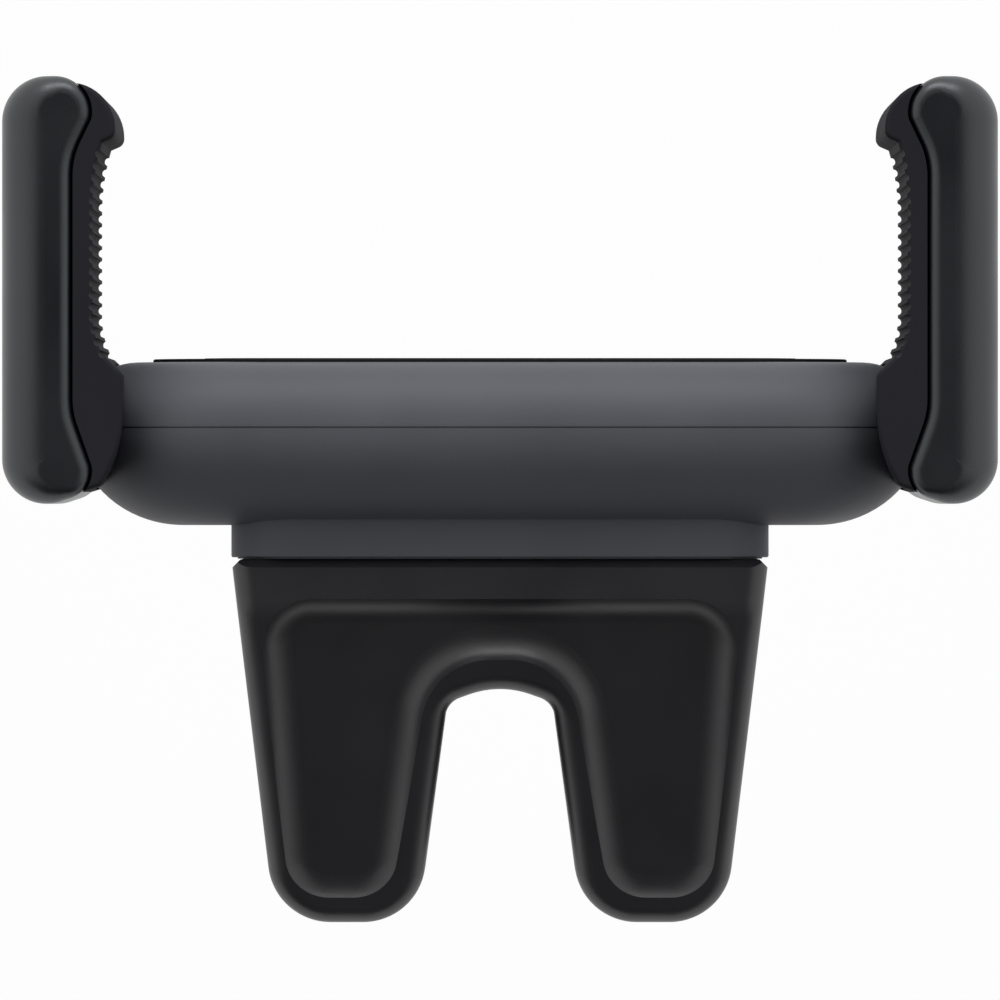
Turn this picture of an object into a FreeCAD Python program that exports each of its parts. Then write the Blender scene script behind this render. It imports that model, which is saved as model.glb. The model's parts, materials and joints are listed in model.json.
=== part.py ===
# Air vent phone holder. A spring clip grips a car's vent blade. A holder turns on the
# clip, and two side arms close on the phone through a rack and pinion.
# X runs across (left is -X for the driver), Y from the driver into the vent, Z up.
# The origin is the middle of the blade slot between the clip's jaws.
import FreeCAD, Part
import math
import os
from FreeCAD import Matrix, Vector

os.makedirs("parts", exist_ok=True)

# Cutting tools run this far past a face, and ribs are sunk this far into their wall
overcut = 1.0
weld = 0.2

# Clip: reach along Y from the origin, half sizes across and up
tip_reach = 10.07
block_reach = 18.2
block_depth = 3.9
block_half_width = 20.75
block_half_height = 13.5
block_chamfer = 0.62
tip_half_width = 17.53
tip_half_height = 6.0
tip_round = 4.85
shoulder_round = 4.0
jaw_edge_round = 1.5
notch_half_tip = 6.4
notch_half_root = 4.1
notch_reach = 8.1
notch_shoulder = 1.0
notch_crown = 0.46
notch_arch = 7.0
notch_corner = 1.7
scoop_lead = 0.9
scoop_root_margin = 1.5
scoop_tip_margin = 0.4
scoop_end_margin = 0.45
scoop_notch_margin = 1.4
scoop_arch_depth = 1.7
scoop_arch_flat = 0.15
scoop_root_depth = 1.5
scoop_tip_depth = 0.8
scoop_corner = 4.2
scoop_flank_round = 2.6
scoop_bridge_share = 0.48

# Jaws, their pads and the hinge
jaw_half_gap = 1.0
jaw_pad_stand = 0.4
jaw_pad_thickness = 2.0
jaw_pad_margin = 2.4
jaw_pad_inset = 0.4
jaw_pad_groove = 0.3
jaw_pad_pitch = 1.6
hinge_back = 2.7
hinge_drop = 5.0
hinge_pin_radius = 1.0
hinge_play = 0.04
pin_half_length = 18.0
ear_radius = 2.9
ear_inner = 13.0
ear_width = 2.5
ear_slot_drop = 1.2
jaw_play = 0.3
jaw_wall_play = 0.4
jaw_opening = 14.0
knuckle_depth = 2.0
knuckle_round = 1.0
lever_half_width = 12.0
lever_drop = 19.4
lever_thickness = 1.9
lever_corner = 3.0
lever_root = 0.6
lever_sink = 2.3
lever_front_round = 0.5
lever_rear_round = 0.8
lever_rib_pitch = 1.6
lever_rib_radius = 0.35
lever_rib_inset = 1.4
lever_rib_margin = 2.4
jaw_spring_radius = 2.0
jaw_spring_wire = 0.7
jaw_spring_turns = 5
jaw_spring_leg = 5.6
jaw_spring_offset = 7.0
jaw_spring_play = 0.35

# Swivel between the clip and the holder
swivel_gap = 0.16
swivel_land_inset = 0.5
swivel_land_play = 0.05
swivel_radius = 2.5
swivel_play = 0.05
swivel_head_radius = 4.6
swivel_head_height = 2.6
swivel_head_round = 0.5
swivel_socket = 2.0
washer_radius = 5.6
washer_thickness = 0.5
wave_height = 0.7
wave_thickness = 0.3
wave_count = 3
wave_inner_play = 0.4
wave_outer_inset = 0.6
insert_radius = 3.5
insert_length = 3.4

# Holder's housing
neck_proud = 0.12
neck_corner = 4.5
neck_depth = 2.5
neck_wall = 2.2
neck_edge_round = 0.15
rear_depth = 7.57
front_depth = 5.08
body_half_width = 33.0
body_half_height = 19.0
body_corner = 13.0
rear_round = 8.35
front_round = 4.8
wall = 1.6
seam_width = 0.12
seam_depth = 0.12

# Phone pad on the holder's face
pad_side_margin = 6.0
pad_end_margin = 4.6
pad_corner = 9.0
pad_thickness = 1.0
pad_stand = 0.25
pad_middle_margin = 4.0
pad_middle_stand = 0.07
pad_edge_round = 0.15

# Rack and pinion
gear_module = 0.8
gear_teeth = 14
pressure_angle = 20.0
backlash = 0.18
tooth_root_play = 0.2
tooth_root_depth = 0.5
rack_depth = 4.0
rack_play = 0.4
rack_length_past_pinion = 18.0
rack_teeth_before_pinion = 4.0
slot_play = 0.25
slot_depth = 4.8
rail_width = 0.6
rail_play = 0.15
pinion_pin_radius = 1.2
pinion_play = 0.05
pinion_side_play = 0.2
pinion_boss_radius = 2.6
plate_play = 0.3
plate_thickness = 1.2
plate_half_width = 17.0
plate_corner = 3.0

# Return springs
spring_radius = 1.9
spring_wire = 0.6
spring_turns = 12
spring_gap = 0.8
spring_headroom = 1.0
spring_front_play = 0.6
spring_corner_play = 0.3
seat_thickness = 1.4
tab_thickness = 2.0
tab_step = 1.0
tab_inset = 0.5
spigot_radius = 1.1
spigot_length = 3.0

# Arms
arm_reach = 22.05
arm_rear_inset = 1.65
arm_overhang = 5.5
arm_stand = 1.0
arm_front_round = 3.5
arm_rear_round = 3.45
nose_inner_round = 2.8
heel_inner_round = 2.2
heel_lift = 0.95
heel_flat = 4.05
heel_turn_round = 3.0
arm_outer_edge_round = 3.4
arm_inner_edge_round = 1.0
part_line_offset = 0.1
nose_bulge = 1.5
nose_length = 3.2
nose_slope = 3.1
heel_length = 2.85
heel_slope = 4.2
nose_round = 1.2
waist_round = 6.0
part_groove = 0.12
part_groove_depth = 1.5
part_play = 0.02
liner_step = 0.4
liner_root = 1.2
liner_edge_round = 0.35
liner_core_play = 0.05
grip_overlap = 1.55
hook_overhang = 1.75
hook_inset = 0.5
hook_round = 3.6
hook_tip_length = 0.6
hook_tip_round = 0.7
grip_start = 10.2
grip_straight = 8.1
grip_front_run = 5.05
grip_front_arc = 18.0
grip_rear_run = 3.18
grip_rear_arc = 7.0
wrap_overlap = 3.85
wrap_front_inset = 0.9
wrap_front_round = 0.6
wrap_turn = 4.3
wrap_round = 10.0
wrap_tail_overlap = 2.15
wrap_tail_inset = 1.38
wrap_tail_round = 0.9
wrap_root_inset = 0.28
rib_pitch = 0.905
rib_count = 18
rib_groove_radius = 0.33
rib_groove_stand = 0.05
pocket_play = 0.3
core_thickness = 2.8
core_margin = 0.8
core_play = 0.1
core_front_inset = 7.5
core_rear_inset = 4.2
core_corner = 3.0

# Screws
screw_radius = 0.8
screw_play = 0.02
screw_hole_play = 0.1
screw_end_play = 1.0
screw_head_radius = 1.7
screw_head_height = 1.3
screw_socket = 0.8
socket_share = 0.6
screw_boss_radius = 2.6
shell_screw_length = 6.0
shell_screw_inset = 3.1
shell_screw_play = 0.9
plate_screw_length = 4.0
plate_screw_x = 13.0
arm_screw_skin = 0.35
arm_screw_margin = 4.5
arm_screw_inset = 3.5

# Places along Y that follow from those sizes
block_front = -block_reach
block_rear = block_front + block_depth
neck_end = block_front - swivel_gap
body_rear = neck_end - neck_depth
seam = body_rear - rear_depth
body_front = seam - front_depth
arm_front = body_front - arm_reach
arm_rear = body_rear - arm_rear_inset
cavity_front = body_front + wall
rack_front = cavity_front + rack_play
rack_rear = rack_front + rack_depth
plate_front = rack_rear + plate_play
plate_rear = plate_front + plate_thickness
head_seat = neck_end - neck_wall
hinge_y = block_rear + hinge_back
hinge_z = -hinge_drop
pad_face = body_front - pad_stand
pad_rear = pad_face + pad_thickness
grip_straight_start = arm_front + grip_start
grip_straight_end = grip_straight_start + grip_straight
grip_front_y = grip_straight_start - grip_front_run
grip_rear_y = grip_straight_end + grip_rear_run

# Heights that follow: the springs lie under the housing's wall, the racks under them
pitch_radius = gear_module * gear_teeth / 2
tip_radius = pitch_radius + gear_module
root_radius = pitch_radius - gear_module - tooth_root_play
cavity_half_height = body_half_height - wall
spring_outer = spring_radius + spring_wire / 2
spring_z = cavity_half_height - spring_headroom - spring_outer
spring_y = cavity_front + spring_front_play + spring_outer
rack_bottom = pitch_radius + gear_module + tooth_root_play
rack_top = spring_z - spring_outer - spring_gap
core_half_height = rack_top + core_margin
arm_screw_z = core_half_height - arm_screw_margin
arm_half_height = body_half_height + arm_stand
liner_half_height = arm_half_height - liner_step
neck_half_height = block_half_height
pad_half_height = body_half_height - pad_end_margin

# Places across that follow from the housing's width
neck_half_width = block_half_width + neck_proud
pad_half_width = body_half_width - pad_side_margin
corner_x = body_half_width - body_corner
corner_rise = spring_z + spring_outer + spring_corner_play - (body_half_height - body_corner)
spring_seat_x = corner_x + math.sqrt((body_corner - wall) ** 2 - corner_rise**2)
tab_x = rack_length_past_pinion - tab_thickness - tab_inset
core_inner = body_half_width + pocket_play + core_play
core_outer = core_inner + core_thickness
part_line = body_half_width + part_line_offset
nose_line = part_line - nose_bulge
arm_half_width = body_half_width + arm_overhang
grip_face = body_half_width - grip_overlap
hook_tip = grip_face - hook_overhang
wrap_tip = body_half_width - wrap_overlap
wrap_tail = body_half_width - wrap_tail_overlap
arm_screw_seat = core_inner + screw_head_height
arm_screw_length = arm_half_width - arm_screw_skin - arm_screw_seat
shell_screw_x = rack_length_past_pinion + shell_screw_play + screw_boss_radius
shell_screw_z = pad_half_height - shell_screw_inset
shell_screw_seat = pad_rear + screw_head_height

ALONG_X = Vector(1, 0, 0)
ALONG_Y = Vector(0, 1, 0)
ALONG_Z = Vector(0, 0, 1)


def spot(plane, across, up):
    """Point on the XY, XZ or YZ plane."""
    places = {"XY": (across, up, 0), "XZ": (across, 0, up), "YZ": (0, across, up)}
    return Vector(*places[plane])


def outline(corners, plane):
    """Closed wire through (across, up, radius) corners, each rounded by its own radius."""
    points = [spot(plane, corner[0], corner[1]) for corner in corners]
    legs = []
    for index, point in enumerate(points):
        back = (points[index - 1] - point).normalize()
        ahead = (points[(index + 1) % len(points)] - point).normalize()
        radius = corners[index][2] if len(corners[index]) > 2 else 0
        if radius == 0:
            legs.append((point, None, point))
            continue
        half = back.getAngle(ahead) / 2
        reach = radius / math.tan(half)
        middle = (back + ahead).normalize() * (radius / math.sin(half) - radius)
        legs.append((point + back * reach, point + middle, point + ahead * reach))
    edges = []
    for index, (start, middle, end) in enumerate(legs):
        if middle is not None:
            edges.append(Part.Arc(start, middle, end).toShape())
        after = legs[(index + 1) % len(legs)][0]
        if end.distanceToPoint(after) > 1e-6:
            edges.append(Part.LineSegment(end, after).toShape())
    return Part.Wire(edges)


def prism(corners, plane, low, high):
    """Solid with that outline, between two places along the plane's normal."""
    normal = {"XY": ALONG_Z, "XZ": ALONG_Y, "YZ": ALONG_X}[plane]
    face = Part.Face(outline(corners, plane))
    face.translate(normal * low)
    return face.extrude(normal * (high - low))


def box(x_low, x_high, y_low, y_high, z_low, z_high):
    """Solid between those limits."""
    size = Vector(x_high - x_low, y_high - y_low, z_high - z_low)
    return Part.makeBox(size.x, size.y, size.z, Vector(x_low, y_low, z_low))


def plate(half_x, half_z, corner, low, high):
    """Rounded rectangle seen from the front, between two places along Y."""
    signs = ((-1, -1), (1, -1), (1, 1), (-1, 1))
    return prism([(sx * half_x, sz * half_z, corner) for sx, sz in signs], "XZ", low, high)


def rod(radius, low, high, x=0.0, z=0.0):
    """Round rod along Y between two places."""
    return Part.makeCylinder(radius, high - low, Vector(x, low, z), ALONG_Y)


def flat_edges(shape, axis, place):
    """Edges that lie wholly at one place along an axis."""
    found = []
    for edge in shape.Edges:
        limits = edge.BoundBox
        low = {"X": limits.XMin, "Y": limits.YMin, "Z": limits.ZMin}[axis]
        high = {"X": limits.XMax, "Y": limits.YMax, "Z": limits.ZMax}[axis]
        if abs(low - place) < 1e-4 and abs(high - place) < 1e-4:
            found.append(edge)
    return found


def rim_edges(shape, side):
    """Outer edges of the faces that look up (side 1) or down (side -1)."""
    seen = {}
    for face in shape.Faces:
        u_low, u_high, v_low, v_high = face.ParameterRange
        normal = face.normalAt((u_low + u_high) / 2, (v_low + v_high) / 2)
        if normal.z * side > 0.5:
            for edge in face.Edges:
                seen.setdefault(edge.hashCode(), []).append(edge)
    return [edges[0] for edges in seen.values() if len(edges) == 1]


def turned(shape):
    """Copy turned half a turn about Y, for the right hand half of the mechanism."""
    other = shape.copy()
    other.rotate(Vector(0, 0, 0), ALONG_Y, 180)
    return other


def flipped(shape, normal):
    """Mirror image across the plane through the origin with that normal."""
    return shape.mirror(Vector(0, 0, 0), normal)


def socket(width, depth, at, direction):
    """Hexagon hole for a key, cut from a screw's head."""
    side = direction.cross(ALONG_Z).normalize()
    up = direction.cross(side)
    angles = [math.radians(60 * step) for step in range(6)]
    points = [at + side * (width * math.cos(a)) + up * (width * math.sin(a)) for a in angles]
    return Part.Face(Part.makePolygon(points + points[:1])).extrude(direction * depth)


def screw(at, direction, length):
    """Small cap screw; its head's seat is at the given point."""
    top = at - direction * screw_head_height
    head = Part.makeCylinder(screw_head_radius, screw_head_height, top, direction)
    shank = Part.makeCylinder(screw_radius, length, at, direction)
    key_hole = socket(screw_socket, screw_head_height * socket_share, top, direction)
    return head.fuse(shank).removeSplitter().cut(key_hole)


def coil(radius, wire, length, turns, leg=0):
    """Round wire helix along Z from 0 to length, with straight legs where they are wanted."""
    rise = length - wire
    helix = Part.makeHelix(rise / turns, rise, radius)
    helix.translate(Vector(0, 0, wire / 2))
    start = Vector(radius, 0, wire / 2)
    end = Vector(-radius, 0, length - wire / 2)
    slope = Vector(0, math.tau * radius, rise / turns)
    edges = helix.Edges
    if leg > 0:
        foot = start - ALONG_Y * leg
        edges = [Part.LineSegment(foot, start).toShape()] + edges
        edges.append(Part.LineSegment(end, end - ALONG_Y * leg).toShape())
        start = foot
        slope = ALONG_Y
    section = Part.Wire(Part.Circle(start, slope, wire / 2).toShape())
    return Part.Wire(edges).makePipeShell([section], True, leg == 0)


def save(name, shape):
    """One file for each named piece."""
    shape.exportStep(f"parts/{name}.step")


# Clip


def side_x(y):
    """Half width of the clip at a place along Y."""
    run = (y - block_front - block_chamfer) / (tip_reach - block_front - block_chamfer)
    return block_half_width + (tip_half_width - block_half_width) * run


def notch_x(y):
    """Half width of the notch between the prongs at a place along Y."""
    low = notch_shoulder - notch_reach
    return notch_half_root + (notch_half_tip - notch_half_root) * (y - low) / (tip_reach - low)


def jaw_top(y):
    """Height of the jaw's outer face at a place along Y."""
    run = (y - block_rear) / (tip_reach - block_rear)
    return block_half_height + (tip_half_height - block_half_height) * run


def clip_plan():
    """The clip seen from above: block, two prongs and the notch between them."""
    shoulder = notch_shoulder - notch_reach
    right = [
        (block_half_width - block_chamfer, block_front),
        (block_half_width, block_front + block_chamfer),
        (tip_half_width, tip_reach, tip_round),
        (notch_half_tip, tip_reach, tip_round),
        (notch_half_root, shoulder, notch_corner),
    ]
    left = [(-corner[0],) + corner[1:] for corner in reversed(right)]
    return right + [(0, -notch_reach - notch_crown, notch_arch)] + left


def scoop(side):
    """Shallow dish with soft flanks, cut in a jaw's outer face."""
    end = tip_reach - scoop_end_margin
    root = block_rear - scoop_lead
    arch = -notch_reach - scoop_arch_depth
    inner = notch_x(arch) + scoop_notch_margin
    right = [
        (side_x(root) - scoop_root_margin, root, scoop_corner),
        (side_x(end) - scoop_tip_margin, end, scoop_corner),
        (notch_x(end) + scoop_notch_margin, end, scoop_corner),
        (inner, arch, inner - scoop_arch_flat),
    ]
    left = [(-corner[0],) + corner[1:] for corner in reversed(right)]
    top = block_half_height + scoop_flank_round
    plan = prism(right + left, "XY", 0, top)
    low_root = jaw_top(root) - scoop_root_depth
    low_end = jaw_top(end) - scoop_tip_depth
    profile = [
        (root - overcut, low_root),
        (end + overcut, low_end),
        (end + overcut, top + overcut),
        (root - overcut, top + overcut),
    ]
    dish = plan.common(prism(profile, "YZ", -block_half_width, block_half_width))
    flank = min(scoop_flank_round, (arch - root) * scoop_bridge_share)
    dish = dish.makeFillet(flank, rim_edges(dish, -1))
    return dish if side > 0 else flipped(dish, ALONG_Z)


def jaw_rims(shape, side):
    """The jaw's outer rim, apart from the block's front."""
    return [edge for edge in rim_edges(shape, side) if edge.BoundBox.YMax > block_rear]


def ear(x_low):
    """Lug of the block that carries the hinge pin."""
    disc = Part.makeCylinder(ear_radius, ear_width, Vector(x_low, hinge_y, hinge_z), ALONG_X)
    root = box(
        x_low,
        x_low + ear_width,
        block_rear - overcut,
        hinge_y,
        hinge_z - ear_radius,
        hinge_z + ear_radius,
    )
    return disc.fuse(root)


def pin_hole(radius):
    """Round hole along the hinge."""
    reach = block_half_width + overcut
    return Part.makeCylinder(radius, 2 * reach, Vector(-reach, hinge_y, hinge_z), ALONG_X)


def jaw_pad(side, grow):
    """Rubber pad under a jaw, or its seat when grown."""
    plan = Part.Face(outline(clip_plan(), "XY").makeOffset2D(grow - jaw_pad_margin))
    low = jaw_half_gap - jaw_pad_stand
    plan.translate(ALONG_Z * low)
    pad = plan.extrude(ALONG_Z * (jaw_pad_thickness + grow))
    root = jaw_pad_inset - notch_reach - grow
    pad = pad.common(box(-block_half_width, block_half_width, root, tip_reach, 0, block_half_height))
    if grow == 0:
        count = int((tip_reach + notch_reach - 2 * jaw_pad_margin) / jaw_pad_pitch)
        for index in range(count):
            y = tip_reach - jaw_pad_margin - (index + 1) * jaw_pad_pitch
            start = Vector(-block_half_width, y, low)
            pad = pad.cut(Part.makeCylinder(jaw_pad_groove, 2 * block_half_width, start, ALONG_X))
    return pad if side > 0 else flipped(pad, ALONG_Z)


def jaw_blank(profile):
    """The clip's plan cut to a profile seen from the side."""
    whole = prism(clip_plan(), "XY", -block_half_height - overcut, block_half_height + overcut)
    return whole.common(prism(profile, "YZ", -block_half_width, block_half_width))


def clip_body():
    """Block, upper prongs and hinge ears, moulded in one."""
    profile = [
        (block_front, -block_half_height + block_chamfer),
        (block_front + block_chamfer, -block_half_height),
        (block_rear, -block_half_height),
        (block_rear, jaw_half_gap),
        (tip_reach, jaw_half_gap),
        (tip_reach, tip_half_height),
        (block_rear, block_half_height, shoulder_round),
        (block_front + block_chamfer, block_half_height),
        (block_front, block_half_height - block_chamfer),
    ]
    shape = jaw_blank(profile)
    shape = shape.makeFillet(jaw_edge_round, jaw_rims(shape, 1))
    shape = shape.cut(scoop(1)).cut(jaw_pad(1, core_play))
    for x_low in (ear_inner, -ear_inner - ear_width):
        shape = shape.fuse(ear(x_low))
    shape = shape.removeSplitter().cut(pin_hole(hinge_pin_radius + screw_play))
    insert_end = block_front + insert_length + screw_play
    insert_seat = rod(insert_radius + screw_play, block_front - overcut, insert_end)
    bolt_end = rod(swivel_radius + swivel_play, block_front, block_rear)
    return shape.cut(insert_seat).cut(bolt_end)


def lower_jaw():
    """Lower prongs, hinge knuckles and the pull lever, moulded in one."""
    lean = math.tan(math.radians(jaw_opening))
    heel = block_rear + jaw_wall_play
    low_y = heel + (jaw_top(heel) - hinge_drop) * lean
    profile = [
        (tip_reach, -jaw_half_gap),
        (tip_reach, -tip_half_height),
        (low_y, -jaw_top(low_y)),
        (heel, hinge_z),
        (heel, hinge_z + ear_radius, knuckle_round),
        (heel + knuckle_depth, -jaw_half_gap),
    ]
    shape = jaw_blank(profile)
    rims = [edge for edge in rim_edges(shape, -1) if edge.BoundBox.YMax > low_y + weld]
    shape = shape.makeFillet(jaw_edge_round, rims)
    shape = shape.cut(scoop(-1)).cut(jaw_pad(-1, core_play))
    shape = shape.fuse(lever(heel, low_y, lean)).removeSplitter()
    for x_low in (ear_inner, -ear_inner - ear_width):
        ear_room = box(
            x_low - jaw_play,
            x_low + ear_width + jaw_play,
            block_front,
            hinge_y + ear_radius + jaw_play,
            hinge_z - ear_radius - ear_slot_drop,
            0,
        )
        shape = shape.cut(ear_room)
    coil_half = jaw_spring_wire * (jaw_spring_turns + 1) / 2 + jaw_spring_play
    coil_reach = jaw_spring_radius + jaw_spring_wire / 2 + jaw_spring_play
    spring_room = box(
        jaw_spring_offset - coil_half,
        jaw_spring_offset + coil_half,
        block_front,
        hinge_y + coil_reach,
        hinge_z - jaw_spring_leg - jaw_spring_play,
        0,
    )
    return shape.cut(spring_room).cut(pin_hole(hinge_pin_radius + hinge_play))


def lever(heel, low_y, lean):
    """Pull lever under the lower jaw, ribbed on its front."""
    front = heel + (lever_drop - hinge_drop) * lean
    profile = [
        (low_y - lever_root * lean, -jaw_top(low_y) + lever_root),
        (front, -lever_drop, lever_front_round),
        (front + lever_thickness, -lever_drop, lever_rear_round),
        (front + lever_thickness, -jaw_top(-notch_reach) + lever_sink),
        (low_y + overcut, -jaw_top(low_y) + lever_sink + overcut),
    ]
    shape = prism(profile, "YZ", -lever_half_width, lever_half_width)
    shape = shape.common(plate(lever_half_width, lever_drop, lever_corner, block_front, tip_reach))
    half = lever_half_width - lever_rib_margin
    for index in range(int((lever_drop - block_half_height) / lever_rib_pitch)):
        z = -lever_drop + lever_rib_inset + index * lever_rib_pitch
        y = heel + (-hinge_drop - z) * lean
        shape = shape.cut(Part.makeCylinder(lever_rib_radius, 2 * half, Vector(-half, y, z), ALONG_X))
    return shape


def jaw_pin():
    """Steel pin through the ears and the knuckles."""
    start = Vector(-pin_half_length, hinge_y, hinge_z)
    return Part.makeCylinder(hinge_pin_radius, 2 * pin_half_length, start, ALONG_X)


def jaw_spring():
    """Torsion spring on the pin; one leg bears on the block, the other on the lower jaw."""
    length = jaw_spring_wire * (jaw_spring_turns + 1)
    shape = coil(jaw_spring_radius, jaw_spring_wire, length, jaw_spring_turns + 0.5, jaw_spring_leg)
    shape.translate(Vector(0, 0, -length / 2))
    shape.rotate(Vector(0, 0, 0), ALONG_X, 90)
    shape.rotate(Vector(0, 0, 0), ALONG_Z, 90)
    shape.translate(Vector(jaw_spring_offset, hinge_y, hinge_z))
    return shape


# Swivel


def swivel_bolt():
    """Bolt from inside the holder into the clip's threaded insert."""
    seat = head_seat - washer_thickness - wave_height
    top = seat - swivel_head_height
    head = rod(swivel_head_radius, top, seat)
    head = head.makeFillet(swivel_head_round, flat_edges(head, "Y", top))
    shank = rod(swivel_radius, seat, block_front + insert_length)
    hole = socket(swivel_socket, swivel_head_height * socket_share, Vector(0, top, 0), ALONG_Y)
    return head.fuse(shank).removeSplitter().cut(hole)


def swivel_insert():
    """Brass insert with the thread for the bolt."""
    end = block_front + insert_length
    outer = rod(insert_radius, block_front, end)
    return outer.cut(rod(swivel_radius + screw_play, block_front, end))


def swivel_washer():
    """Flat washer on the neck's inner face."""
    start = head_seat - washer_thickness
    outer = rod(washer_radius, start, head_seat)
    return outer.cut(rod(swivel_radius + swivel_play, start, head_seat))


def wave_washer():
    """Wavy spring washer that gives the swivel its friction."""
    middle = head_seat - washer_thickness - wave_height / 2
    swing = (wave_height - wave_thickness) / 2
    steps = 8 * wave_count

    def rim(radius, side):
        points = []
        for step in range(steps):
            turn = math.tau * step / steps
            y = middle + side * wave_thickness / 2 + swing * math.cos(wave_count * turn)
            points.append(Vector(radius * math.cos(turn), y, radius * math.sin(turn)))
        curve = Part.BSplineCurve()
        curve.interpolate(Points=points, PeriodicFlag=True)
        return Part.Wire(curve.toShape())

    inner = swivel_radius + swivel_play + wave_inner_play
    outer = washer_radius - wave_outer_inset
    low = Part.makeRuledSurface(rim(inner, -1), rim(outer, -1))
    high = Part.makeRuledSurface(rim(inner, 1), rim(outer, 1))
    inside = Part.makeRuledSurface(rim(inner, -1), rim(inner, 1))
    outside = Part.makeRuledSurface(rim(outer, -1), rim(outer, 1))
    shell = Part.makeShell(low.Faces + high.Faces + inside.Faces + outside.Faces)
    shell.sewShape()
    return Part.Solid(shell)


# Holder


def housing(grow):
    """Front and rear halves of the housing's outer form, grown or shrunk all round."""
    half_x = body_half_width + grow
    half_z = body_half_height + grow
    corner = body_corner + grow
    front = plate(half_x, half_z, corner, body_front - grow, seam)
    front = front.makeFillet(front_round + grow, flat_edges(front, "Y", body_front - grow))
    radius = rear_round + grow
    rear = plate(half_x, half_z, corner, -overcut, radius)
    rear = rear.makeFillet(radius, flat_edges(rear, "Y", radius))
    squeeze = Matrix()
    squeeze.A22 = (rear_depth + grow) / radius
    rear = rear.transformGeometry(squeeze)
    rear.translate(ALONG_Y * seam)
    rear_end = body_rear + grow + overcut
    return front, rear.common(box(-half_x, half_x, seam, rear_end, -half_z, half_z))


def seam_groove():
    """Fine groove round the housing where its halves meet."""
    low = seam - seam_width / 2
    high = seam + seam_width / 2
    outside = plate(
        body_half_width + overcut, body_half_height + overcut, body_corner + overcut, low, high
    )
    inside = plate(
        body_half_width - seam_depth, body_half_height - seam_depth, body_corner - seam_depth, low, high
    )
    return outside.cut(inside)


def rack_slots():
    """Ways out through the housing's ends for the two rack bars."""
    left = box(
        -body_half_width - overcut,
        -body_half_width + slot_depth,
        rack_front - slot_play,
        rack_rear + slot_play,
        rack_bottom - slot_play,
        rack_top + slot_play,
    )
    return left.fuse(turned(left))


def shell_screw_spots():
    """Places of the four screws that hold the halves together."""
    x = shell_screw_x
    z = shell_screw_z
    return [(x, 0), (-x, 0), (x, z), (-x, -z)]


def spring_seat():
    """Rib and spigot that hold the left spring's fixed end."""
    rib = box(
        -spring_seat_x - seat_thickness,
        -spring_seat_x,
        cavity_front - weld,
        rack_rear,
        spring_z - spring_outer,
        spring_z + spring_outer,
    )
    start = Vector(-spring_seat_x, spring_y, spring_z)
    return rib.fuse(Part.makeCylinder(spigot_radius, spigot_length, start, ALONG_X))


def front_shell():
    """Front half of the housing, with the mechanism's bearings and rails."""
    outer = housing(0)[0]
    shape = outer.cut(housing(-wall)[0])
    root = cavity_front - weld
    rail = box(
        -body_half_width + slot_depth,
        rack_length_past_pinion,
        root,
        rack_front + tab_step - 2 * rail_play,
        rack_top + rail_play,
        rack_top + rail_play + rail_width,
    )
    inside = [rail, turned(rail), spring_seat(), turned(spring_seat())]
    hub_end = rack_front + pinion_side_play
    inside += [rod(screw_boss_radius, root, seam, x, z) for x, z in shell_screw_spots()]
    inside += [rod(screw_boss_radius, root, plate_front, x) for x in (-plate_screw_x, plate_screw_x)]
    inside.append(rod(pinion_boss_radius, root, hub_end))
    shape = shape.fuse([piece.common(outer) for piece in inside]).removeSplitter()
    pad_x = pad_half_width + core_play
    pad_z = pad_half_height + core_play
    cuts = [plate(pad_x, pad_z, pad_corner, body_front - overcut, pad_rear)]
    for x, z in shell_screw_spots():
        cuts.append(rod(screw_head_radius + core_play, body_front, shell_screw_seat + core_play, x, z))
        cuts.append(rod(screw_radius + screw_hole_play, body_front, seam + overcut, x, z))
    for x in (-plate_screw_x, plate_screw_x):
        start = plate_rear - plate_screw_length - screw_end_play
        cuts.append(rod(screw_radius + screw_play, start, plate_rear, x))
    cuts.append(rod(pinion_pin_radius + screw_play, root, hub_end + overcut))
    cuts += [rack_slots(), seam_groove()]
    for tool in cuts:
        shape = shape.cut(tool)
    return shape


def rear_shell():
    """Rear half of the housing, with the neck and its swivel wall."""
    outer, inner = housing(0)[1], housing(-wall)[1]
    middle = seam + rear_depth / 2
    neck = plate(neck_half_width, neck_half_height, neck_corner, middle, neck_end)
    neck = neck.makeFillet(neck_edge_round, flat_edges(neck, "Y", neck_end))
    hollow = plate(
        neck_half_width - wall, neck_half_height - wall, neck_corner - wall, middle, head_seat
    )
    land = plate(
        neck_half_width - swivel_land_inset,
        neck_half_height - swivel_land_inset,
        neck_corner - swivel_land_inset,
        neck_end - weld,
        block_front - swivel_land_play,
    )
    shape = outer.fuse([neck, land]).cut(inner).cut(hollow)
    bosses = [rod(screw_boss_radius, seam, body_rear, x, z) for x, z in shell_screw_spots()]
    shape = shape.fuse([boss.common(outer) for boss in bosses]).removeSplitter()
    hole_end = shell_screw_seat + shell_screw_length + screw_end_play
    for x, z in shell_screw_spots():
        shape = shape.cut(rod(screw_radius + screw_play, seam - overcut, hole_end, x, z))
    bore = rod(swivel_radius + swivel_play, head_seat - overcut, block_front)
    return shape.cut(bore).cut(rack_slots()).cut(seam_groove())


def front_pad():
    """Soft pad that the phone's back rests on, its middle slightly raised."""
    shape = plate(pad_half_width, pad_half_height, pad_corner, pad_face, pad_rear)
    shape = shape.makeFillet(pad_edge_round, flat_edges(shape, "Y", pad_face))
    middle = plate(
        pad_half_width - pad_middle_margin,
        pad_half_height - pad_middle_margin,
        pad_corner - pad_middle_margin,
        pad_face - pad_middle_stand,
        pad_face + weld,
    )
    return shape.fuse(middle).removeSplitter()


def shell_screws():
    """Four screws under the pad."""
    return Part.makeCompound(
        [
            screw(Vector(x, shell_screw_seat, z), ALONG_Y, shell_screw_length)
            for x, z in shell_screw_spots()
        ]
    )


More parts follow.
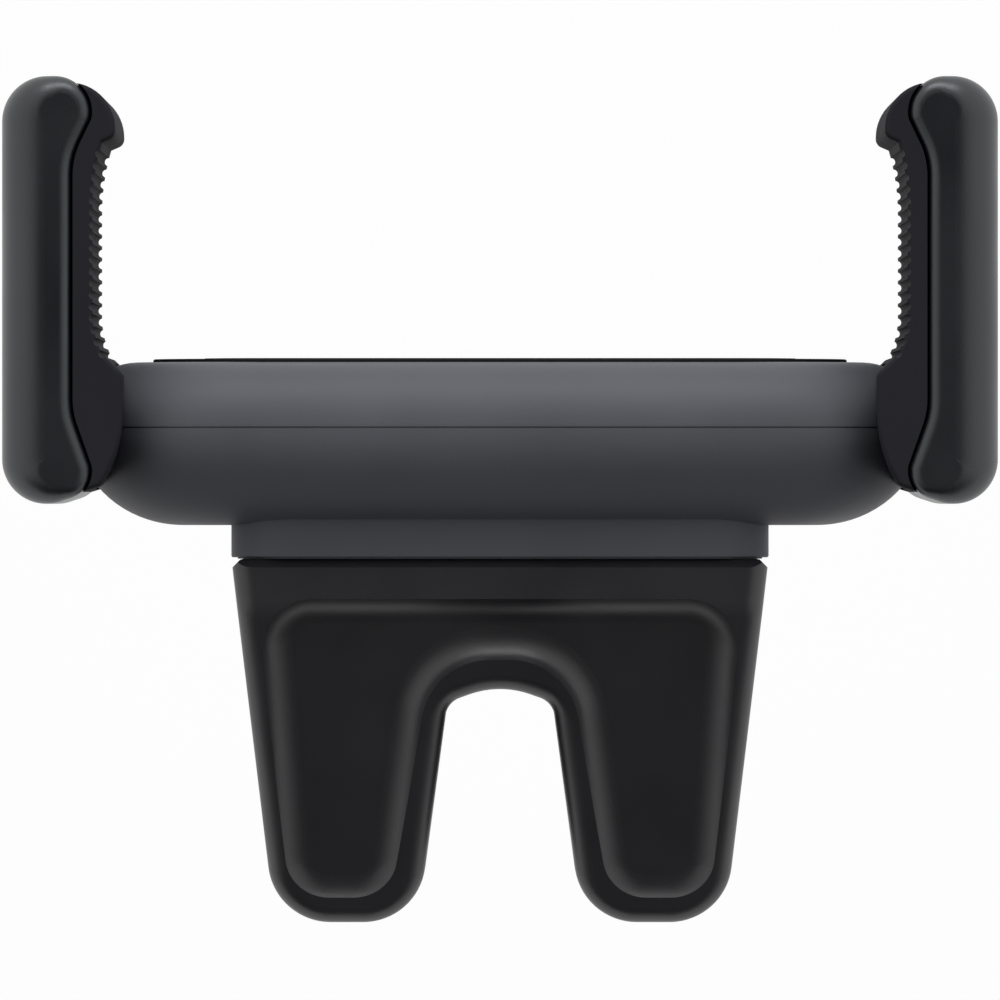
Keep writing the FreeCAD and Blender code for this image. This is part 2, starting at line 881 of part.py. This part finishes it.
def rack_cover():
    """Plate that keeps the racks and the pinion in their layer."""
    shape = plate(plate_half_width, rack_top + rail_play, plate_corner, plate_front, plate_rear)
    for x in (-plate_screw_x, plate_screw_x):
        shape = shape.cut(rod(screw_radius + screw_hole_play, plate_front, plate_rear, x))
    return shape.cut(rod(pinion_pin_radius + screw_play, plate_front, plate_rear))


def rack_cover_screws():
    """Two screws through the plate into the front shell's posts."""
    return Part.makeCompound(
        [
            screw(Vector(x, plate_rear, 0), Vector(0, -1, 0), plate_screw_length)
            for x in (-plate_screw_x, plate_screw_x)
        ]
    )


def pinion_pin():
    """Axle of the pinion, from the front shell to the plate."""
    return rod(pinion_pin_radius, cavity_front - weld, plate_rear)


def around(radius, angle):
    """Point at that distance from the pinion's axis."""
    return Vector(radius * math.cos(angle), 0, radius * math.sin(angle))


def pinion():
    """Spur gear between the two racks, with involute teeth."""
    base = pitch_radius * math.cos(math.radians(pressure_angle))
    at_pitch = math.tan(math.radians(pressure_angle)) - math.radians(pressure_angle)
    half_tooth = math.pi / 2 / gear_teeth - backlash / 2 / pitch_radius

    def flank(radius, centre, side):
        roll = math.sqrt(max(radius * radius / base / base - 1, 0))
        return around(radius, centre + side * (half_tooth + at_pitch - roll + math.atan(roll)))

    steps = [base + (tip_radius - base) * step / 4 for step in range(5)]
    edges = []
    for tooth in range(gear_teeth):
        centre = math.pi / 2 + (tooth + 0.5) * math.tau / gear_teeth
        rise = [flank(radius, centre, -1) for radius in steps]
        fall = [flank(radius, centre, 1) for radius in reversed(steps)]
        foot = flank(base, centre, -1).normalize() * root_radius
        heel = flank(base, centre, 1).normalize() * root_radius
        after = flank(base, centre + math.tau / gear_teeth, -1).normalize() * root_radius
        gap = around(root_radius, centre + math.pi / gear_teeth)
        up = Part.BSplineCurve()
        up.interpolate(rise)
        down = Part.BSplineCurve()
        down.interpolate(fall)
        edges += [
            Part.LineSegment(foot, rise[0]).toShape(),
            up.toShape(),
            Part.Arc(rise[-1], around(tip_radius, centre), fall[0]).toShape(),
            down.toShape(),
            Part.LineSegment(fall[-1], heel).toShape(),
            Part.Arc(heel, gap, after).toShape(),
        ]
    blank = Part.Face(Part.Wire(edges))
    blank.translate(ALONG_Y * (rack_front + pinion_side_play))
    gear = blank.extrude(ALONG_Y * (rack_depth - 2 * pinion_side_play))
    return gear.cut(rod(pinion_pin_radius + pinion_play, cavity_front, plate_front))


def return_spring():
    """Left arm's compression spring, between its seat and the rack's tab."""
    shape = coil(spring_radius, spring_wire, spring_seat_x + tab_x, spring_turns)
    shape.rotate(Vector(0, 0, 0), ALONG_Y, 90)
    shape.translate(Vector(-spring_seat_x, spring_y, spring_z))
    return shape


# Arms


def rack_teeth(phase):
    """Row of straight teeth on the rack bar's lower side."""
    pitch = math.pi * gear_module
    lean = math.tan(math.radians(pressure_angle))
    half = pitch / 4 - backlash / 2
    tip = half - gear_module * lean
    root = half + (gear_module + tooth_root_play) * lean
    low = pitch_radius - gear_module
    high = rack_bottom + tooth_root_depth
    teeth = []
    first = -int(rack_teeth_before_pinion / pitch)
    last = int((rack_length_past_pinion - root) / pitch)
    for index in range(first, last + 1):
        x = index * pitch + phase
        tooth = [
            (x - tip, low),
            (x + tip, low),
            (x + root, rack_bottom),
            (x + half, high),
            (x - half, high),
            (x - root, rack_bottom),
        ]
        teeth.append(prism(tooth, "XZ", rack_front, rack_rear))
    return teeth


def rack_arm(phase):
    """Left arm's core plate, rack bar and spring tab, moulded in one."""
    core = prism(
        [
            (arm_front + core_front_inset, -core_half_height, core_corner),
            (arm_rear - core_rear_inset, -core_half_height, core_corner),
            (arm_rear - core_rear_inset, core_half_height, core_corner),
            (arm_front + core_front_inset, core_half_height, core_corner),
        ],
        "YZ",
        -core_outer,
        -core_inner,
    )
    bar = box(-core_outer, rack_length_past_pinion, rack_front, rack_rear, rack_bottom, rack_top)
    tab = box(
        tab_x,
        tab_x + tab_thickness,
        rack_front + tab_step,
        rack_rear,
        rack_top - weld,
        spring_z + spring_outer,
    )
    start = Vector(tab_x - spigot_length, spring_y, spring_z)
    spigot = Part.makeCylinder(spigot_radius, spigot_length, start, ALONG_X)
    shape = core.fuse([bar, tab, spigot] + rack_teeth(phase)).removeSplitter()
    for y, z in arm_screw_spots():
        head_start = Vector(-arm_screw_seat, y, z)
        head = Part.makeCylinder(
            screw_head_radius + core_play, screw_head_height + overcut, head_start, ALONG_X
        )
        hole_start = Vector(-core_outer - overcut, y, z)
        hole = Part.makeCylinder(
            screw_radius + screw_hole_play, core_thickness + overcut, hole_start, ALONG_X
        )
        shape = shape.cut(head).cut(hole)
    return shape


def arm_screw_spots():
    """Places of the three screws from an arm's core into its cover."""
    front = arm_front + core_front_inset + arm_screw_inset
    rear = body_front - arm_screw_inset
    return [(front, arm_screw_z), (front, -arm_screw_z), (rear, 0)]


def core_room(x_high):
    """Room in an arm for its core plate, out to a place along X."""
    return box(
        -core_outer - core_play,
        x_high,
        arm_front + core_front_inset - core_play,
        arm_rear - core_rear_inset + core_play,
        -core_half_height - core_play,
        core_half_height + core_play,
    )


def cover_plan():
    """Left arm's outer cover seen from above."""
    nose = arm_front + nose_length
    heel = arm_rear - heel_length
    return [
        (-arm_half_width, arm_front, arm_front_round),
        (-nose_line, arm_front, nose_inner_round),
        (-nose_line, nose, nose_round),
        (-part_line, nose + nose_slope, waist_round),
        (-part_line, heel - heel_slope, waist_round),
        (-nose_line, heel, nose_round),
        (-nose_line, arm_rear - heel_lift, heel_inner_round),
        (-arm_half_width + heel_flat, arm_rear, heel_turn_round),
        (-arm_half_width, arm_rear, arm_rear_round),
    ]


def cover_round(place):
    """Radius of the cover's end edge, small at the parting line and large outside."""
    share = (abs(place.x) - part_line) / (arm_half_width - part_line)
    share = min(max(share, 0), 1)
    return arm_inner_edge_round + (arm_outer_edge_round - arm_inner_edge_round) * share


def round_ends(shape, radius_at):
    """Rounds the top and bottom edges of an upright prism by a radius that changes along them."""
    document = FreeCAD.newDocument("rounding")
    base = document.addObject("Part::Feature")
    base.Shape = shape
    rounding = document.addObject("Part::Fillet")
    rounding.Base = base
    rows = []
    for number, edge in enumerate(shape.Edges, 1):
        if edge.BoundBox.ZLength < 1e-6:
            start = edge.valueAt(edge.FirstParameter)
            end = edge.valueAt(edge.LastParameter)
            rows.append((number, radius_at(start), radius_at(end)))
    rounding.Edges = rows
    document.recompute()
    rounded = rounding.Shape.Solids[0].copy()
    FreeCAD.closeDocument(document.Name)
    return rounded


def body_pocket():
    """Room in an arm for the housing's end."""
    front, rear = housing(pocket_play)
    return front.fuse(rear)


def arm_cover():
    """Left arm's outer cover."""
    shape = prism(cover_plan(), "XY", -arm_half_height, arm_half_height)
    shape = round_ends(shape, cover_round)
    shape = shape.cut(core_room(0)).cut(body_pocket())
    for y, z in arm_screw_spots():
        start = Vector(-arm_screw_seat - arm_screw_length, y, z)
        hole = Part.makeCylinder(screw_radius + screw_play, arm_screw_length, start, ALONG_X)
        shape = shape.cut(hole)
    return shape


def cover_room(play, low, high):
    """Room in the grip for the cover, between two heights."""
    plan = Part.Face(outline(cover_plan(), "XY").makeOffset2D(play))
    plan.translate(ALONG_Z * low)
    return plan.extrude(ALONG_Z * (high - low))


def grip_x(y):
    """Distance of the grip's rib tips from the middle at a place along Y."""
    if y < grip_straight_start:
        run = grip_straight_start - y
        return grip_face - grip_front_arc + math.sqrt(grip_front_arc**2 - run**2)
    if y > grip_straight_end:
        run = y - grip_straight_end
        return grip_face - grip_rear_arc + math.sqrt(grip_rear_arc**2 - run**2)
    return grip_face


def grip_plan():
    """Left grip seen from above: hook, ribbed face and the wrap round the housing's end."""
    front_turn = math.asin(grip_front_run / grip_front_arc) / 2
    rear_turn = math.asin(grip_rear_run / grip_rear_arc) / 2
    hook_y = arm_front + hook_inset
    root_x = -part_line - liner_root
    return [
        (root_x, hook_y),
        (-hook_tip, hook_y, hook_round),
        (-hook_tip, hook_y + hook_round + hook_tip_length, hook_tip_round),
        (-grip_x(grip_front_y), grip_front_y),
        (-grip_face, grip_straight_start - grip_front_arc * math.tan(front_turn), grip_front_arc),
        (-grip_face, grip_straight_end + grip_rear_arc * math.tan(rear_turn), grip_rear_arc),
        (-grip_x(grip_rear_y), grip_rear_y),
        (-wrap_tip, body_front + wrap_front_inset, wrap_front_round),
        (-wrap_tip, arm_rear - wrap_turn, wrap_round),
        (-wrap_tail, arm_rear - wrap_tail_inset, wrap_tail_round),
        (root_x, arm_rear - wrap_root_inset),
    ]


def grip_liner():
    """Left arm's ribbed grip."""
    shape = prism(grip_plan(), "XY", -liner_half_height, liner_half_height)
    shape = shape.makeFillet(liner_edge_round, rim_edges(shape, 1) + rim_edges(shape, -1))
    over = liner_half_height + overcut
    groove_floor = liner_half_height - part_groove_depth
    shape = shape.cut(cover_room(part_play, -over, over))
    shape = shape.cut(cover_room(part_groove, groove_floor, over))
    shape = shape.cut(cover_room(part_groove, -over, -groove_floor))
    for index in range(rib_count):
        y = grip_front_y + (index + 1) * rib_pitch
        start = Vector(-grip_x(y) + rib_groove_stand, y, -over)
        shape = shape.cut(Part.makeCylinder(rib_groove_radius, 2 * over, start, ALONG_Z))
    bar_room = box(
        -core_outer,
        0,
        rack_front - slot_play,
        rack_rear + slot_play,
        rack_bottom - slot_play,
        rack_top + slot_play,
    )
    return shape.cut(core_room(-part_line + liner_core_play)).cut(body_pocket()).cut(bar_room)


def arm_screws():
    """Three screws that hold an arm's cover on its core."""
    return Part.makeCompound(
        [
            screw(Vector(-arm_screw_seat, y, z), Vector(-1, 0, 0), arm_screw_length)
            for y, z in arm_screw_spots()
        ]
    )


odd_phase = math.pi * gear_module / 2 * (gear_teeth % 2)

pieces = {
    "clip_body": clip_body(),
    "upper_jaw_pads": jaw_pad(1, 0),
    "lower_jaw": lower_jaw(),
    "lower_jaw_pads": jaw_pad(-1, 0),
    "jaw_pin": jaw_pin(),
    "jaw_spring": jaw_spring(),
    "swivel_bolt": swivel_bolt(),
    "swivel_insert": swivel_insert(),
    "swivel_washer": swivel_washer(),
    "wave_washer": wave_washer(),
    "rear_shell": rear_shell(),
    "front_shell": front_shell(),
    "front_pad": front_pad(),
    "shell_screws": shell_screws(),
    "rack_cover": rack_cover(),
    "rack_cover_screws": rack_cover_screws(),
    "pinion_pin": pinion_pin(),
    "pinion": pinion(),
    "left_return_spring": return_spring(),
    "left_rack_arm": rack_arm(0),
    "left_arm_cover": arm_cover(),
    "left_grip_liner": grip_liner(),
    "left_arm_screws": arm_screws(),
}
pieces["right_return_spring"] = turned(pieces["left_return_spring"])
pieces["right_rack_arm"] = turned(rack_arm(odd_phase))
for name in ("arm_cover", "grip_liner", "arm_screws"):
    pieces["right_" + name] = turned(pieces["left_" + name])

for name, shape in pieces.items():
    save(name, shape)
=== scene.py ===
# Studio picture of the air vent phone holder, built round its packed construction.
import json
import math

import bpy
from mathutils import Euler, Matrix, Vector


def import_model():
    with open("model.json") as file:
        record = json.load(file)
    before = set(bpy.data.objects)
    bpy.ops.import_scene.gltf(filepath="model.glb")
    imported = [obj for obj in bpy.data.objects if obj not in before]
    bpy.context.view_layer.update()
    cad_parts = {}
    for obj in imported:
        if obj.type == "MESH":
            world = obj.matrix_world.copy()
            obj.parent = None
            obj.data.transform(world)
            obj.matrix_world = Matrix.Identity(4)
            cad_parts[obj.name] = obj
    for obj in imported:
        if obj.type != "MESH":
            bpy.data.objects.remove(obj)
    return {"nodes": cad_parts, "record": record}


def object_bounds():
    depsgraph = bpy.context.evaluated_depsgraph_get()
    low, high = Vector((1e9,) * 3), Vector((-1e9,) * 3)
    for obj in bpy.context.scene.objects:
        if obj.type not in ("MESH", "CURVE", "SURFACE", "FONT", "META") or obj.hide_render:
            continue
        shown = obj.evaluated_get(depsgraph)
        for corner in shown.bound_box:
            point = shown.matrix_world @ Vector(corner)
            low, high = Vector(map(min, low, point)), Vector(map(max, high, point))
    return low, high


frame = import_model()
cad_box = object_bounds()

MM = 0.001


def rgb(red, green, blue):
    """Colour with full alpha."""
    return (red, green, blue, 1.0)


# Colours
WHITE = rgb(1.0, 1.0, 1.0)
FLOOR_GREY = rgb(0.16, 0.16, 0.16)
BODY_GREY = rgb(0.112, 0.116, 0.131)
ARM_GREY = rgb(0.0060, 0.0065, 0.0088)
GRIP_GREY = rgb(0.024, 0.024, 0.029)
CLIP_BLACK = rgb(0.0092, 0.0086, 0.0118)
PAD_BLACK = rgb(0.010, 0.0105, 0.012)
RACK_BLACK = rgb(0.020, 0.020, 0.022)
GEAR_WHITE = rgb(0.72, 0.70, 0.64)
ZINC = rgb(0.62, 0.63, 0.66)
BRASS = rgb(0.78, 0.58, 0.27)
COOL = rgb(0.92, 0.97, 1.0)

# Moulded surfaces: scales are in repeats per metre, sizes in metres
FLOW_SCALE = 90.0
FLOW_TINT = 0.06
GRAIN_SIZE = 0.16 * MM
GRAIN_DEPTH = 0.012 * MM
GRAIN_DETAIL = 3.0
GRAIN_ROUGHNESS = 0.6
GLOSS_SWING = 0.05

# Metal surfaces
DRAWN_SCALE = 3500.0
DRAWN_DETAIL = 3.0
DRAWN_TINT = 0.08
DRAWN_SWING = 0.06
DRAWN_DEPTH = 0.004 * MM

# Noise keeps between these values nearly everywhere
NOISE_LOW = 0.3
NOISE_HIGH = 0.7

# Sockets of a colour mix node
MIX_FACTOR, MIX_FIRST, MIX_SECOND, MIX_RESULT = 0, 6, 7, 2

# Floor: camera and reflections see it brightened to white by its glow
FLOOR_SIZE = 6.0
FLOOR_DROP = 60 * MM
FLOOR_ROUGHNESS = 0.9
FLOOR_GLOW = 0.88

# Tent of the world as (place, level) stops: by height (the world direction's Z, nought is
# level) and by depth (nought in front, one at the rear). Camera and reflections also see
# a white low band all round.
TENT_BY_HEIGHT = ((0.0, 1.0), (0.5, 1.0), (0.857, 0.7), (0.95, 0.12), (1.0, 0.03))
TENT_BY_DEPTH = ((0.0, 1.0), (0.62, 1.0), (0.74, 0.2), (0.86, 0.03))
LOW_BAND = ((0.0, 1.0), (0.14, 1.0), (0.4, 0.0))

# Camera: straight above the holder, far away behind a long lens
PHOTO_SIZE = 1000
PIXELS_PER_METRE = 12.8 / MM
CAMERA_HEIGHT = 1611 * MM
CENTRE_Y = -22.81 * MM
SENSOR = 36.0
CLIP_NEAR = 0.01
CLIP_FAR = 20.0

# Soft box in front of the holder, in metres and watts
BOX_PLACE = (0, -1.5, 0.65)
BOX_WIDTH = 1.6
BOX_HEIGHT = 0.7
BOX_POWER = 13.0


class Nodes:
    """Small helper that adds shader nodes and links to one node tree."""

    def __init__(self, tree):
        self.tree = tree

    def add(self, kind, **values):
        """New node; each value goes to the input or the setting of that name."""
        node = self.tree.nodes.new(kind)
        for name, value in values.items():
            if name in node.inputs:
                node.inputs[name].default_value = value
            else:
                setattr(node, name, value)
        return node

    def link(self, source, target):
        self.tree.links.new(source, target)

    def joined(self, operation, first, second):
        """Math node on two outputs."""
        node = self.add("ShaderNodeMath", operation=operation)
        self.link(first, node.inputs[0])
        self.link(second, node.inputs[1])
        return node.outputs[0]


def new_material(name):
    """Material with a plain principled shader, and its node helper."""
    material = bpy.data.materials.new(name)
    material.use_nodes = True
    return material, Nodes(material.node_tree), material.node_tree.nodes["Principled BSDF"]


def noise(nodes, place, scale, detail=2.0, rough=0.5):
    """Noise of one scale in the part's own space."""
    texture = nodes.add("ShaderNodeTexNoise", Scale=scale, Detail=detail, Roughness=rough)
    nodes.link(place.outputs["Object"], texture.inputs["Vector"])
    return texture.outputs["Fac"]


def spread(nodes, value, low, high):
    """Maps noise from its usual range to low and high."""
    ramp = nodes.add("ShaderNodeMapRange")
    ramp.inputs["From Min"].default_value = NOISE_LOW
    ramp.inputs["From Max"].default_value = NOISE_HIGH
    ramp.inputs["To Min"].default_value = low
    ramp.inputs["To Max"].default_value = high
    nodes.link(value, ramp.inputs["Value"])
    return ramp.outputs["Result"]


def tinted(nodes, value, colour, amount):
    """Colour that varies a little by the given noise."""
    mix = nodes.add("ShaderNodeMix", data_type="RGBA")
    mix.inputs[MIX_FIRST].default_value = rgb(*(c * (1 - amount) for c in colour[:3]))
    mix.inputs[MIX_SECOND].default_value = rgb(*(min(c * (1 + amount), 1.0) for c in colour[:3]))
    nodes.link(value, mix.inputs[MIX_FACTOR])
    return mix.outputs[MIX_RESULT]


def bumped(nodes, shader, height, depth):
    """Gives the shader a fine relief of the given depth."""
    bump = nodes.add("ShaderNodeBump", Strength=1.0, Distance=depth)
    nodes.link(height, bump.inputs["Height"])
    nodes.link(bump.outputs["Normal"], shader.inputs["Normal"])


def moulded(name, colour, roughness, shine=0.5, cast=WHITE):
    """Moulded plastic or rubber: spark-eroded grain, faint flow marks and uneven gloss."""
    material, nodes, shader = new_material(name)
    shader.inputs["Specular IOR Level"].default_value = shine
    shader.inputs["Specular Tint"].default_value = cast
    place = nodes.add("ShaderNodeTexCoord")
    flow = noise(nodes, place, FLOW_SCALE)
    grain = noise(nodes, place, 1.0 / GRAIN_SIZE, detail=GRAIN_DETAIL, rough=GRAIN_ROUGHNESS)
    colour_of_flow = tinted(nodes, spread(nodes, flow, 0.0, 1.0), colour, FLOW_TINT)
    gloss = spread(nodes, flow, roughness - GLOSS_SWING, roughness + GLOSS_SWING)
    nodes.link(colour_of_flow, shader.inputs["Base Color"])
    nodes.link(gloss, shader.inputs["Roughness"])
    bumped(nodes, shader, grain, GRAIN_DEPTH)
    return material


def metal(name, colour, roughness):
    """Plated or turned metal with a fine uneven sheen."""
    material, nodes, shader = new_material(name)
    shader.inputs["Metallic"].default_value = 1.0
    place = nodes.add("ShaderNodeTexCoord")
    drawn = noise(nodes, place, DRAWN_SCALE, detail=DRAWN_DETAIL)
    gloss = spread(nodes, drawn, roughness - DRAWN_SWING, roughness + DRAWN_SWING)
    nodes.link(tinted(nodes, drawn, colour, DRAWN_TINT), shader.inputs["Base Color"])
    nodes.link(gloss, shader.inputs["Roughness"])
    bumped(nodes, shader, drawn, DRAWN_DEPTH)
    return material


def dress_nodes():
    """Gives every carried-over piece its finish."""
    finishes = {
        "clip": moulded("clip_black", CLIP_BLACK, 0.4, shine=0.8),
        "jaw_rubber": moulded("jaw_rubber_black", PAD_BLACK, 0.7),
        "steel": metal("zinc_steel", ZINC, 0.3),
        "insert_brass": metal("turned_brass", BRASS, 0.25),
        "shell": moulded("shell_grey", BODY_GREY, 0.5, shine=0.15),
        "face_pad": moulded("pad_black", PAD_BLACK, 0.7, shine=0.1),
        "arm_shell": moulded("arm_grey", ARM_GREY, 0.35, shine=0.82, cast=COOL),
        "grip": moulded("grip_grey", GRIP_GREY, 0.8, shine=0.1),
        "rack_plastic": moulded("rack_black", RACK_BLACK, 0.4),
        "gear_plastic": moulded("gear_white", GEAR_WHITE, 0.35),
    }
    for row in frame["record"]["subparts"]:
        piece = frame["nodes"][row["node"]]
        piece.data.materials.clear()
        piece.data.materials.append(finishes[row["material_slot"]])


def white_for_sight(nodes):
    """One for camera, mirror and glass rays, nought for the rays that carry light."""
    path = nodes.add("ShaderNodeLightPath")
    seen = nodes.joined("MAXIMUM", path.outputs["Is Camera Ray"], path.outputs["Is Glossy Ray"])
    return nodes.joined("MAXIMUM", seen, path.outputs["Is Transmission Ray"])


def backdrop_material(name):
    """Matt pale paper that keeps its shadow and is white to camera and reflections."""
    material, nodes, shader = new_material(name)
    shader.inputs["Base Color"].default_value = FLOOR_GREY
    shader.inputs["Roughness"].default_value = FLOOR_ROUGHNESS
    shader.inputs["Specular IOR Level"].default_value = 0.0
    shader.inputs["Emission Color"].default_value = WHITE
    glow = nodes.add("ShaderNodeMath", operation="MULTIPLY")
    glow.inputs[1].default_value = FLOOR_GLOW
    nodes.link(white_for_sight(nodes), glow.inputs[0])
    nodes.link(glow.outputs[0], shader.inputs["Emission Strength"])
    return material


def floor():
    """Pale floor under the holder."""
    height = cad_box[0][2] - FLOOR_DROP
    bpy.ops.mesh.primitive_plane_add(size=FLOOR_SIZE, location=(0, 0, height))
    plane = bpy.context.object
    plane.name = "floor"
    plane.data.materials.append(backdrop_material("floor_white"))


def ramp_between(nodes, value, stops):
    """Grey level through (place, level) stops along a value."""
    ramp = nodes.add("ShaderNodeValToRGB")
    ramp.color_ramp.interpolation = "EASE"
    elements = ramp.color_ramp.elements
    while len(elements) < len(stops):
        elements.new(0.5)
    for element, (place, level) in zip(elements, stops):
        element.position = place
        element.color = rgb(level, level, level)
    nodes.link(value, ramp.inputs["Fac"])
    return ramp.outputs["Color"]


def world():
    """Soft white tent round the holder, dim overhead and at the rear."""
    surround = bpy.data.worlds.new("studio")
    bpy.context.scene.world = surround
    surround.use_nodes = True
    nodes = Nodes(surround.node_tree)
    place = nodes.add("ShaderNodeTexCoord")
    parts = nodes.add("ShaderNodeSeparateXYZ")
    nodes.link(place.outputs["Generated"], parts.inputs[0])
    rear = nodes.add("ShaderNodeMapRange")
    rear.inputs["From Min"].default_value = -1.0
    rear.inputs["From Max"].default_value = 1.0
    nodes.link(parts.outputs["Y"], rear.inputs["Value"])
    by_height = ramp_between(nodes, parts.outputs["Z"], TENT_BY_HEIGHT)
    by_depth = ramp_between(nodes, rear.outputs["Result"], TENT_BY_DEPTH)
    low = ramp_between(nodes, parts.outputs["Z"], LOW_BAND)
    band = nodes.joined("MULTIPLY", low, white_for_sight(nodes))
    level = nodes.joined("MULTIPLY", by_height, nodes.joined("MAXIMUM", by_depth, band))
    background = surround.node_tree.nodes["Background"]
    background.inputs["Color"].default_value = WHITE
    nodes.link(level, background.inputs["Strength"])


def soft_box():
    """Area lamp in front that points at the holder."""
    data = bpy.data.lights.new("front_box", "AREA")
    data.shape = "RECTANGLE"
    data.size = BOX_WIDTH
    data.size_y = BOX_HEIGHT
    data.energy = BOX_POWER
    box = bpy.data.objects.new("front_box", data)
    box.location = BOX_PLACE
    aim = Vector((0, CENTRE_Y, 0)) - Vector(BOX_PLACE)
    box.rotation_euler = aim.to_track_quat("-Z", "Y").to_euler()
    bpy.context.scene.collection.objects.link(box)


def camera():
    """Camera of the photograph: image up is the holder's front."""
    data = bpy.data.cameras.new("camera")
    data.sensor_width = SENSOR
    data.lens = SENSOR * CAMERA_HEIGHT * PIXELS_PER_METRE / PHOTO_SIZE
    data.clip_start = CLIP_NEAR
    data.clip_end = CLIP_FAR
    eye = bpy.data.objects.new("camera", data)
    eye.location = (0, CENTRE_Y, CAMERA_HEIGHT)
    eye.rotation_euler = Euler((0, 0, math.pi))
    bpy.context.scene.collection.objects.link(eye)
    bpy.context.scene.camera = eye


dress_nodes()
floor()
world()
soft_box()
camera()

bpy.context.scene.view_settings.view_transform = "Standard"
